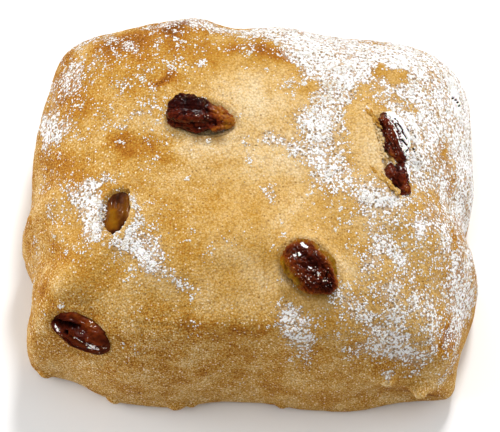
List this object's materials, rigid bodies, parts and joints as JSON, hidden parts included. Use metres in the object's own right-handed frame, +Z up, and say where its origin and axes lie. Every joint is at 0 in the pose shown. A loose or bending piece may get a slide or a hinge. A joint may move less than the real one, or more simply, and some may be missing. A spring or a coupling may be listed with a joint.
{
  "type": "raisin bun",
  "caption": "Squarish hand-cut wheat bun with a floured, unevenly browned crust and whole raisins baked into its top.",
  "frame": {"origin": "middle of the bun's outline, on its flat sole", "axes": "+Z up through the crown; -Y towards the front, where the low unfloured wall shows; +X along the bun's longest side, to the right seen from the front"},
  "size_m": [0.0894, 0.0758, 0.0419],
  "materials": {
    "crust": "matt baked crust",
    "raisin_dark": "sticky gloss",
    "raisin_red": "sticky gloss",
    "raisin_amber": "satin",
    "flour": "matt powder"
  },
  "bodies": {
    "root": {"bun": "crust", "raisin_back_left": "raisin_dark", "raisin_left": "raisin_amber", "raisin_right_upper": "raisin_dark", "raisin_right_lower": "raisin_dark", "raisin_centre": "raisin_red", "raisin_front_left": "raisin_red", "raisin_right_edge": "raisin_dark"}
  },
  "joints": []
}
